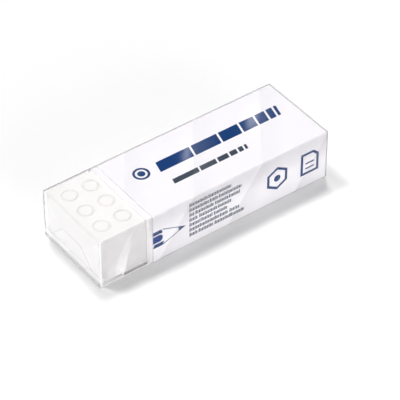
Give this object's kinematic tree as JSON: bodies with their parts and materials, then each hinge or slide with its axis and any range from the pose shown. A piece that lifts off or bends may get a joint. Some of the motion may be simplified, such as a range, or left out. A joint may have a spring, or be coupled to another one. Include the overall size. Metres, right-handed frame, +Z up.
{
  "type": "block eraser in sealed film",
  "caption": "White vinyl block eraser in a printed card sleeve, bare at one end, sealed in clear film that is folded like an envelope over both ends.",
  "frame": {"origin": "on the surface that the pack lies on, under the middle of the pack", "axes": "+X along the block, from its bare end to the end that the sleeve covers; +Y from the printed front to the back; +Z up"},
  "size_m": [0.0658, 0.023, 0.0142],
  "materials": {
    "white_vinyl": "matte",
    "printed_card": "matte",
    "white_tape": "gloss",
    "clear_film": "gloss"
  },
  "bodies": {
    "root": {"eraser_block": "white_vinyl", "card_sleeve": "printed_card", "tear_strip": "white_tape", "film_wrap": "clear_film"}
  },
  "joints": []
}
